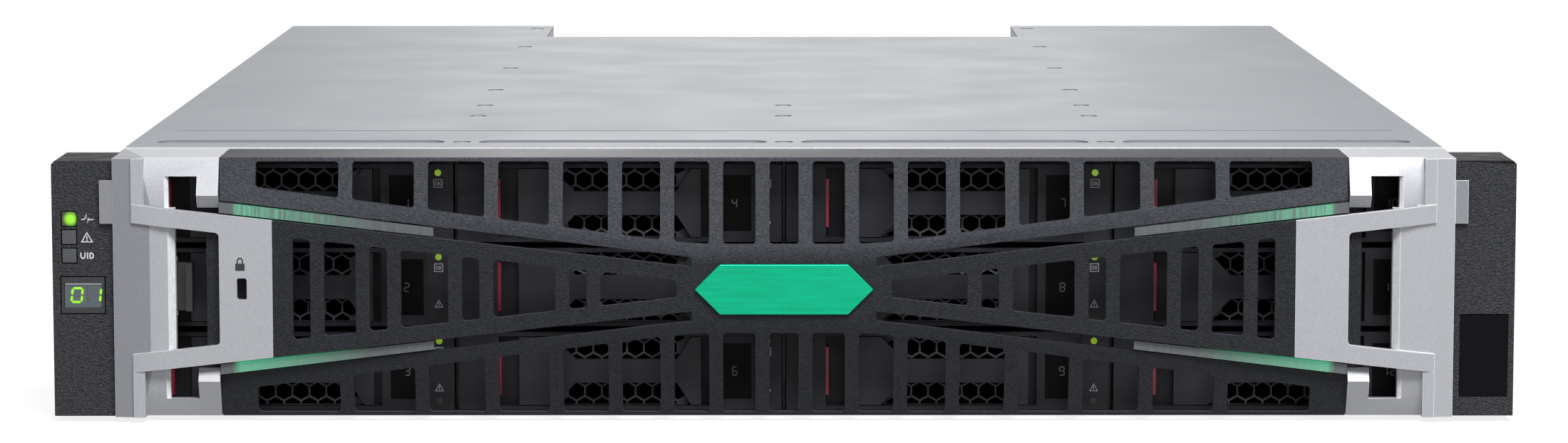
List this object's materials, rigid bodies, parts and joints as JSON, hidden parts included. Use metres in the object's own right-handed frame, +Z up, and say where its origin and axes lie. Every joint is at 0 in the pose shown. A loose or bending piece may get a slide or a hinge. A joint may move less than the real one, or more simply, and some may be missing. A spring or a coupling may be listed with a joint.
{
  "type": "rack storage array",
  "caption": "Two-unit rack storage enclosure: lattice bezel over hot-plug drive carriers, with controller canisters and power supplies at the rear.",
  "frame": {"origin": "bottom centre of the enclosure's box", "axes": "+X right seen from the front, +Y to the rear, +Z up"},
  "size_m": [0.483, 0.6359, 0.0879],
  "materials": {
    "galvanised_sheet": "galvanised steel sheet",
    "bright_fastener": "zinc plated steel",
    "ear_plastic": "grained black plastic",
    "bezel_plastic": "grained dark grey plastic",
    "silver_plastic": "silver painted plastic",
    "green_badge": "brushed green metallic",
    "light_guide": "frosted light guide",
    "display_window": "smoked display window",
    "lamp_window": "frosted lamp window",
    "black_plate": "gloss black plate",
    "carrier_plastic": "dark carrier plastic",
    "lever_plastic": "dark lever plastic",
    "circuit_board": "solder masked laminate",
    "connector_plastic": "black connector plastic",
    "module_steel": "zinc plated module case",
    "black_paint": "black painted steel",
    "switch_plastic": "black rocker",
    "ejector_plastic": "wine red plastic",
    "fan_plastic": "black fan rotor"
  },
  "bodies": {
    "chassis": {"chassis_base": "galvanised_sheet", "top_cover": "galvanised_sheet", "chassis_fasteners": "bright_fastener", "rack_flanges": "black_paint", "left_ear_cover": "ear_plastic", "right_ear_cover": "ear_plastic", "info_plate": "black_plate", "ops_display": "display_window", "status_lights": "lamp_window", "drive_cage": "galvanised_sheet", "midplane": "circuit_board", "midplane_connectors": "connector_plastic"},
    "uid_button": {"uid_button": "lamp_window"},
    "bezel": {"bezel_frame": "bezel_plastic", "bezel_light_bars": "light_guide", "bezel_badge": "green_badge", "bezel_left_cap": "silver_plastic", "bezel_right_cap": "silver_plastic"},
    "bezel_latch": {"bezel_latch": "connector_plastic"},
    "controller_lower": {"controller_lower_case": "module_steel", "controller_lower_board": "circuit_board"},
    "controller_lower_left_ejector": {"controller_lower_left_ejector": "ejector_plastic"},
    "controller_lower_right_ejector": {"controller_lower_right_ejector": "ejector_plastic"},
    "controller_upper": {"controller_upper_case": "module_steel", "controller_upper_board": "circuit_board"},
    "controller_upper_left_ejector": {"controller_upper_left_ejector": "ejector_plastic"},
    "controller_upper_right_ejector": {"controller_upper_right_ejector": "ejector_plastic"},
    "power_left": {"power_left_case": "module_steel"},
    "power_left_handle": {"power_left_handle": "black_paint"},
    "power_left_switch": {"power_left_switch": "switch_plastic"},
    "power_left_fan": {"power_left_fan": "fan_plastic"},
    "power_right": {"power_right_case": "module_steel"},
    "power_right_handle": {"power_right_handle": "black_paint"},
    "power_right_switch": {"power_right_switch": "switch_plastic"},
    "power_right_fan": {"power_right_fan": "fan_plastic"},
    "drive_01": {"drive_01_carrier": "carrier_plastic"},
    "drive_01_lever": {"drive_01_lever": "lever_plastic"},
    "drive_02": {"drive_02_carrier": "carrier_plastic"},
    "drive_02_lever": {"drive_02_lever": "lever_plastic"},
    "drive_03": {"drive_03_carrier": "carrier_plastic"},
    "drive_03_lever": {"drive_03_lever": "lever_plastic"},
    "drive_04": {"drive_04_carrier": "carrier_plastic"},
    "drive_04_lever": {"drive_04_lever": "lever_plastic"},
    "drive_05": {"drive_05_carrier": "carrier_plastic"},
    "drive_05_lever": {"drive_05_lever": "lever_plastic"},
    "drive_06": {"drive_06_carrier": "carrier_plastic"},
    "drive_06_lever": {"drive_06_lever": "lever_plastic"},
    "drive_07": {"drive_07_carrier": "carrier_plastic"},
    "drive_07_lever": {"drive_07_lever": "lever_plastic"},
    "drive_08": {"drive_08_carrier": "carrier_plastic"},
    "drive_08_lever": {"drive_08_lever": "lever_plastic"},
    "drive_09": {"drive_09_carrier": "carrier_plastic"},
    "drive_09_lever": {"drive_09_lever": "lever_plastic"},
    "drive_10": {"drive_10_carrier": "carrier_plastic"},
    "drive_10_lever": {"drive_10_lever": "lever_plastic"},
    "drive_11": {"drive_11_carrier": "carrier_plastic"},
    "drive_11_lever": {"drive_11_lever": "lever_plastic"},
    "drive_12": {"drive_12_carrier": "carrier_plastic"},
    "drive_12_lever": {"drive_12_lever": "lever_plastic"}
  },
  "joints": [
    {"name": "bezel_pull", "type": "slide", "parent": "chassis", "child": "bezel", "axis": [0, -1, 0], "range_m": [0, 0.15]},
    {"name": "bezel_latch_slide", "type": "slide", "parent": "bezel", "child": "bezel_latch", "axis": [-1, 0, 0], "range_m": [0, 0.003]},
    {"name": "uid_press", "type": "slide", "parent": "chassis", "child": "uid_button", "axis": [0, 1, 0], "range_m": [0, 0.0012], "stiffness_N_per_m": 400},
    {"name": "controller_lower_slide", "type": "slide", "parent": "chassis", "child": "controller_lower", "axis": [0, 1, 0], "range_m": [0, 0.3]},
    {"name": "controller_lower_left_ejector_swing", "type": "hinge", "parent": "controller_lower", "child": "controller_lower_left_ejector", "pos_m": [-0.0977, 0.22715, 0.02202], "axis": [0, 0, 1], "range_deg": [0, 70]},
    {"name": "controller_lower_right_ejector_swing", "type": "hinge", "parent": "controller_lower", "child": "controller_lower_right_ejector", "pos_m": [0.0977, 0.22715, 0.02202], "axis": [0, 0, -1], "range_deg": [0, 70]},
    {"name": "controller_upper_slide", "type": "slide", "parent": "chassis", "child": "controller_upper", "axis": [0, 1, 0], "range_m": [0, 0.3]},
    {"name": "controller_upper_left_ejector_swing", "type": "hinge", "parent": "controller_upper", "child": "controller_upper_left_ejector", "pos_m": [-0.0977, 0.22715, 0.06467], "axis": [0, 0, 1], "range_deg": [0, 70]},
    {"name": "controller_upper_right_ejector_swing", "type": "hinge", "parent": "controller_upper", "child": "controller_upper_right_ejector", "pos_m": [0.0977, 0.22715, 0.06467], "axis": [0, 0, -1], "range_deg": [0, 70]},
    {"name": "power_left_slide", "type": "slide", "parent": "chassis", "child": "power_left", "axis": [0, 1, 0], "range_m": [0, 0.35]},
    {"name": "power_left_handle_fold", "type": "hinge", "parent": "power_left", "child": "power_left_handle", "pos_m": [-0.1785, 0.29535, 0.076], "axis": [-1, 0, 0], "range_deg": [0, 85]},
    {"name": "power_left_switch_rock", "type": "hinge", "parent": "power_left", "child": "power_left_switch", "pos_m": [-0.1265, 0.28885, 0.048], "axis": [1, 0, 0], "range_deg": [-7, 7]},
    {"name": "power_left_fan_spin", "type": "hinge", "parent": "power_left", "child": "power_left_fan", "pos_m": [-0.1785, 0.29185, 0.03995], "axis": [0, 1, 0], "continuous": true},
    {"name": "power_right_slide", "type": "slide", "parent": "chassis", "child": "power_right", "axis": [0, 1, 0], "range_m": [0, 0.35]},
    {"name": "power_right_handle_fold", "type": "hinge", "parent": "power_right", "child": "power_right_handle", "pos_m": [0.1465, 0.29535, 0.076], "axis": [-1, 0, 0], "range_deg": [0, 85]},
    {"name": "power_right_switch_rock", "type": "hinge", "parent": "power_right", "child": "power_right_switch", "pos_m": [0.1985, 0.28885, 0.048], "axis": [1, 0, 0], "range_deg": [-7, 7]},
    {"name": "power_right_fan_spin", "type": "hinge", "parent": "power_right", "child": "power_right_fan", "pos_m": [0.1465, 0.29185, 0.03995], "axis": [0, 1, 0], "continuous": true},
    {"name": "drive_01_slide", "type": "slide", "parent": "chassis", "child": "drive_01", "axis": [0, -1, 0], "range_m": [0, 0.007]},
    {"name": "drive_01_lever_swing", "type": "hinge", "parent": "drive_01", "child": "drive_01_lever", "pos_m": [-0.139, -0.29465, 0.07103], "axis": [0, 0, 1], "range_deg": [0, 7]},
    {"name": "drive_02_slide", "type": "slide", "parent": "chassis", "child": "drive_02", "axis": [0, -1, 0], "range_m": [0, 0.007]},
    {"name": "drive_02_lever_swing", "type": "hinge", "parent": "drive_02", "child": "drive_02_lever", "pos_m": [-0.139, -0.29465, 0.04279], "axis": [0, 0, 1], "range_deg": [0, 7]},
    {"name": "drive_03_slide", "type": "slide", "parent": "chassis", "child": "drive_03", "axis": [0, -1, 0], "range_m": [0, 0.007]},
    {"name": "drive_03_lever_swing", "type": "hinge", "parent": "drive_03", "child": "drive_03_lever", "pos_m": [-0.139, -0.29465, 0.01455], "axis": [0, 0, 1], "range_deg": [0, 7]},
    {"name": "drive_04_slide", "type": "slide", "parent": "chassis", "child": "drive_04", "axis": [0, -1, 0], "range_m": [0, 0.007]},
    {"name": "drive_04_lever_swing", "type": "hinge", "parent": "drive_04", "child": "drive_04_lever", "pos_m": [-0.0297, -0.29465, 0.07103], "axis": [0, 0, 1], "range_deg": [0, 7]},
    {"name": "drive_05_slide", "type": "slide", "parent": "chassis", "child": "drive_05", "axis": [0, -1, 0], "range_m": [0, 0.007]},
    {"name": "drive_05_lever_swing", "type": "hinge", "parent": "drive_05", "child": "drive_05_lever", "pos_m": [-0.0297, -0.29465, 0.04279], "axis": [0, 0, 1], "range_deg": [0, 7]},
    {"name": "drive_06_slide", "type": "slide", "parent": "chassis", "child": "drive_06", "axis": [0, -1, 0], "range_m": [0, 0.007]},
    {"name": "drive_06_lever_swing", "type": "hinge", "parent": "drive_06", "child": "drive_06_lever", "pos_m": [-0.0297, -0.29465, 0.01455], "axis": [0, 0, 1], "range_deg": [0, 7]},
    {"name": "drive_07_slide", "type": "slide", "parent": "chassis", "child": "drive_07", "axis": [0, -1, 0], "range_m": [0, 0.007]},
    {"name": "drive_07_lever_swing", "type": "hinge", "parent": "drive_07", "child": "drive_07_lever", "pos_m": [0.0796, -0.29465, 0.07103], "axis": [0, 0, 1], "range_deg": [0, 7]},
    {"name": "drive_08_slide", "type": "slide", "parent": "chassis", "child": "drive_08", "axis": [0, -1, 0], "range_m": [0, 0.007]},
    {"name": "drive_08_lever_swing", "type": "hinge", "parent": "drive_08", "child": "drive_08_lever", "pos_m": [0.0796, -0.29465, 0.04279], "axis": [0, 0, 1], "range_deg": [0, 7]},
    {"name": "drive_09_slide", "type": "slide", "parent": "chassis", "child": "drive_09", "axis": [0, -1, 0], "range_m": [0, 0.007]},
    {"name": "drive_09_lever_swing", "type": "hinge", "parent": "drive_09", "child": "drive_09_lever", "pos_m": [0.0796, -0.29465, 0.01455], "axis": [0, 0, 1], "range_deg": [0, 7]},
    {"name": "drive_10_slide", "type": "slide", "parent": "chassis", "child": "drive_10", "axis": [0, -1, 0], "range_m": [0, 0.007]},
    {"name": "drive_10_lever_swing", "type": "hinge", "parent": "drive_10", "child": "drive_10_lever", "pos_m": [0.1889, -0.29465, 0.07103], "axis": [0, 0, 1], "range_deg": [0, 7]},
    {"name": "drive_11_slide", "type": "slide", "parent": "chassis", "child": "drive_11", "axis": [0, -1, 0], "range_m": [0, 0.007]},
    {"name": "drive_11_lever_swing", "type": "hinge", "parent": "drive_11", "child": "drive_11_lever", "pos_m": [0.1889, -0.29465, 0.04279], "axis": [0, 0, 1], "range_deg": [0, 7]},
    {"name": "drive_12_slide", "type": "slide", "parent": "chassis", "child": "drive_12", "axis": [0, -1, 0], "range_m": [0, 0.007]},
    {"name": "drive_12_lever_swing", "type": "hinge", "parent": "drive_12", "child": "drive_12_lever", "pos_m": [0.1889, -0.29465, 0.01455], "axis": [0, 0, 1], "range_deg": [0, 7]}
  ]
}
